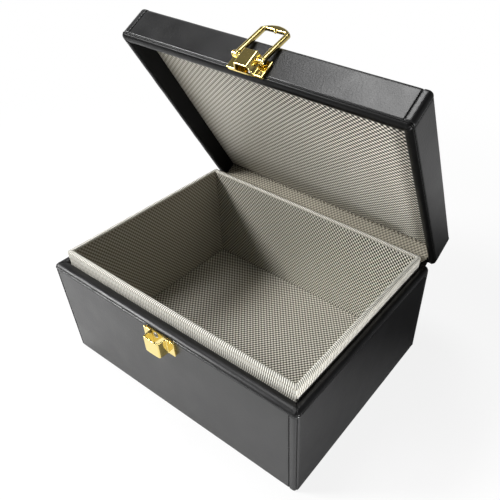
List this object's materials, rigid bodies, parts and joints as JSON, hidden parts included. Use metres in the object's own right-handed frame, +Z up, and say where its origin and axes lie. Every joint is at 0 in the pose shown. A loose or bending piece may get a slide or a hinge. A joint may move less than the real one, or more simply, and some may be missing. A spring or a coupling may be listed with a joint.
{
  "type": "faraday key box",
  "caption": "Hinged leather-covered box with a shielding-fabric lining, padded ledge, raised tray and a swinging loop clasp.",
  "frame": {"origin": "centre of the box's base, on the surface that it stands on", "axes": "+X to the right along the front, +Y to the hinge side, +Z up"},
  "size_m": [0.2, 0.1863, 0.2202],
  "materials": {
    "black_leather": "smooth, satin",
    "board": "raw fibreboard",
    "shielding_fabric": "metallised weave",
    "foam": "soft foam",
    "gold_brass": "polished",
    "screw_steel": "polished"
  },
  "bodies": {
    "box": {"base_board": "board", "base_cover": "black_leather", "corner_strip_back_left": "black_leather", "corner_strip_back_right": "black_leather", "corner_strip_front_left": "black_leather", "corner_strip_front_right": "black_leather", "cover_back": "black_leather", "cover_front": "black_leather", "cover_left": "black_leather", "cover_right": "black_leather", "hinge_gusset": "shielding_fabric", "hinge_leather": "black_leather", "keeper_plate": "gold_brass", "keeper_screws": "screw_steel", "keeper_tongue": "gold_brass", "ledge_roll_back": "black_leather", "ledge_roll_front": "black_leather", "ledge_roll_left": "black_leather", "ledge_roll_right": "black_leather", "liner_board_back": "board", "liner_board_front": "board", "liner_board_left": "board", "liner_board_right": "board", "liner_fabric_back": "shielding_fabric", "liner_fabric_front": "shielding_fabric", "liner_fabric_left": "shielding_fabric", "liner_fabric_right": "shielding_fabric", "liner_floor_board": "board", "liner_floor_fabric": "shielding_fabric", "wall_board_back": "board", "wall_board_front": "board", "wall_board_left": "board", "wall_board_right": "board"},
    "lid": {"clasp_bridge": "gold_brass", "clasp_pin": "gold_brass", "clasp_plate": "gold_brass", "clasp_screws": "screw_steel", "lid_board_back": "board", "lid_board_front": "board", "lid_board_left": "board", "lid_board_right": "board", "lid_corner_strip_back_left": "black_leather", "lid_corner_strip_back_right": "black_leather", "lid_corner_strip_front_left": "black_leather", "lid_corner_strip_front_right": "black_leather", "lid_cover_back": "black_leather", "lid_cover_front": "black_leather", "lid_cover_left": "black_leather", "lid_cover_right": "black_leather", "lid_panel_board": "board", "lid_panel_fabric": "shielding_fabric", "lid_panel_foam": "foam", "lid_rim_roll_back": "black_leather", "lid_rim_roll_front": "black_leather", "lid_rim_roll_left": "black_leather", "lid_rim_roll_right": "black_leather", "lid_top_board": "board", "lid_top_cover": "black_leather"},
    "clasp_loop": {"clasp_loop": "gold_brass"}
  },
  "joints": [
    {"name": "lid_hinge", "type": "hinge", "parent": "box", "child": "lid", "pos_m": [0, 0.075, 0.067], "axis": [-1, 0, 0], "range_deg": [-60, 30], "deforming": ["hinge_leather", "hinge_gusset"]},
    {"name": "clasp_swing", "type": "hinge", "parent": "lid", "child": "clasp_loop", "pos_m": [0, 0.01329, 0.20989], "axis": [1, 0, 0], "range_deg": [0, 192]}
  ]
}
